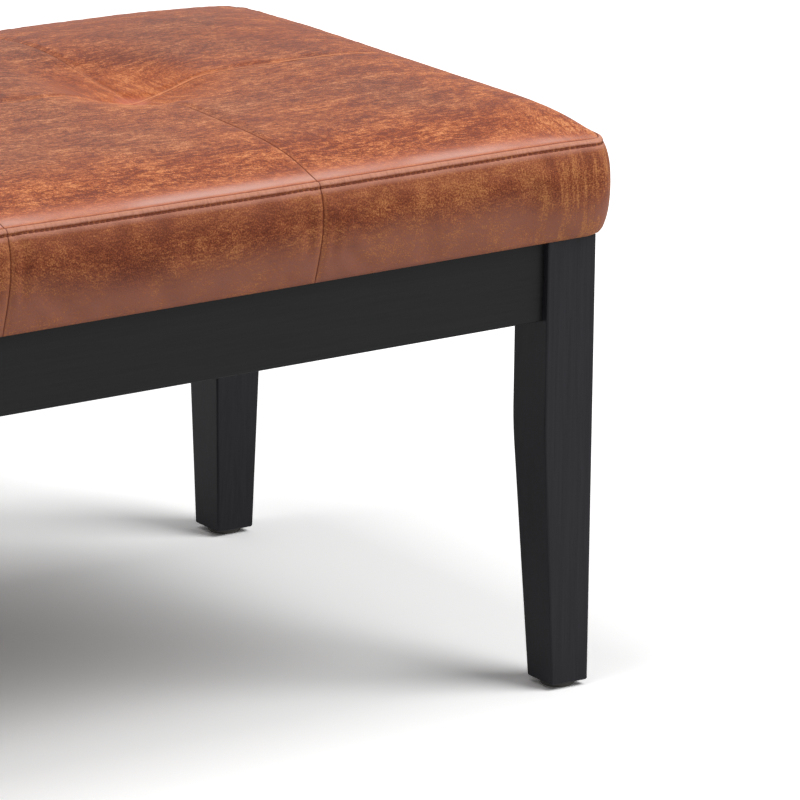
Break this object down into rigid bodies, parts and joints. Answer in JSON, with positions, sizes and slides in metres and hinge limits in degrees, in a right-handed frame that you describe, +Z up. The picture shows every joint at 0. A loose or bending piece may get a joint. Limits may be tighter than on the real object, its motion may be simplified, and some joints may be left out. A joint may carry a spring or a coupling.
{
  "type": "ottoman bench",
  "caption": "Long low bench: tufted, panelled leather seat with a boxed band on a black wooden frame with tapered square legs.",
  "frame": {"origin": "on the floor, under the middle of the bench", "axes": "+X along the bench towards its right end, +Y towards its back, +Z up"},
  "size_m": [1.3, 0.5, 0.4402],
  "materials": {
    "black_wood": "satin black lacquer over faint open grain",
    "bare_wood": "planed, unfinished",
    "plywood": "sanded plywood",
    "leather": "distressed saddle brown, soft sheen",
    "foam": "open-cell polyurethane foam",
    "batting": "polyester batting",
    "dust_cloth": "black spun cloth",
    "steel": "zinc plated",
    "glide": "moulded",
    "twine": "waxed upholstery twine"
  },
  "bodies": {
    "root": {"apron_back": "black_wood", "apron_front": "black_wood", "apron_left": "black_wood", "apron_right": "black_wood", "band_back_1": "leather", "band_back_2": "leather", "band_back_3": "leather", "band_back_4": "leather", "band_back_5": "leather", "band_front_1": "leather", "band_front_2": "leather", "band_front_3": "leather", "band_front_4": "leather", "band_front_5": "leather", "band_left_back": "leather", "band_left_front": "leather", "band_right_back": "leather", "band_right_front": "leather", "batting": "batting", "bolt_nuts": "steel", "bolt_washers": "steel", "corner_block_back_left": "bare_wood", "corner_block_back_right": "bare_wood", "corner_block_front_left": "bare_wood", "corner_block_front_right": "bare_wood", "corner_block_screws": "steel", "cross_rail_left": "bare_wood", "cross_rail_right": "bare_wood", "dowels": "bare_wood", "dust_cloth": "dust_cloth", "dust_cloth_staples": "steel", "foam_pad": "foam", "glide_back_left": "glide", "glide_back_right": "glide", "glide_front_left": "glide", "glide_front_right": "glide", "glide_nails": "steel", "hanger_bolts": "steel", "hem_staples": "steel", "leg_back_left": "black_wood", "leg_back_right": "black_wood", "leg_front_left": "black_wood", "leg_front_right": "black_wood", "seat_board": "plywood", "seat_screws": "steel", "top_panel_back_1": "leather", "top_panel_back_2": "leather", "top_panel_back_3": "leather", "top_panel_back_4": "leather", "top_panel_back_5": "leather", "top_panel_front_1": "leather", "top_panel_front_2": "leather", "top_panel_front_3": "leather", "top_panel_front_4": "leather", "top_panel_front_5": "leather", "tuft_ties": "twine", "tuft_washers": "steel"}
  },
  "joints": []
}
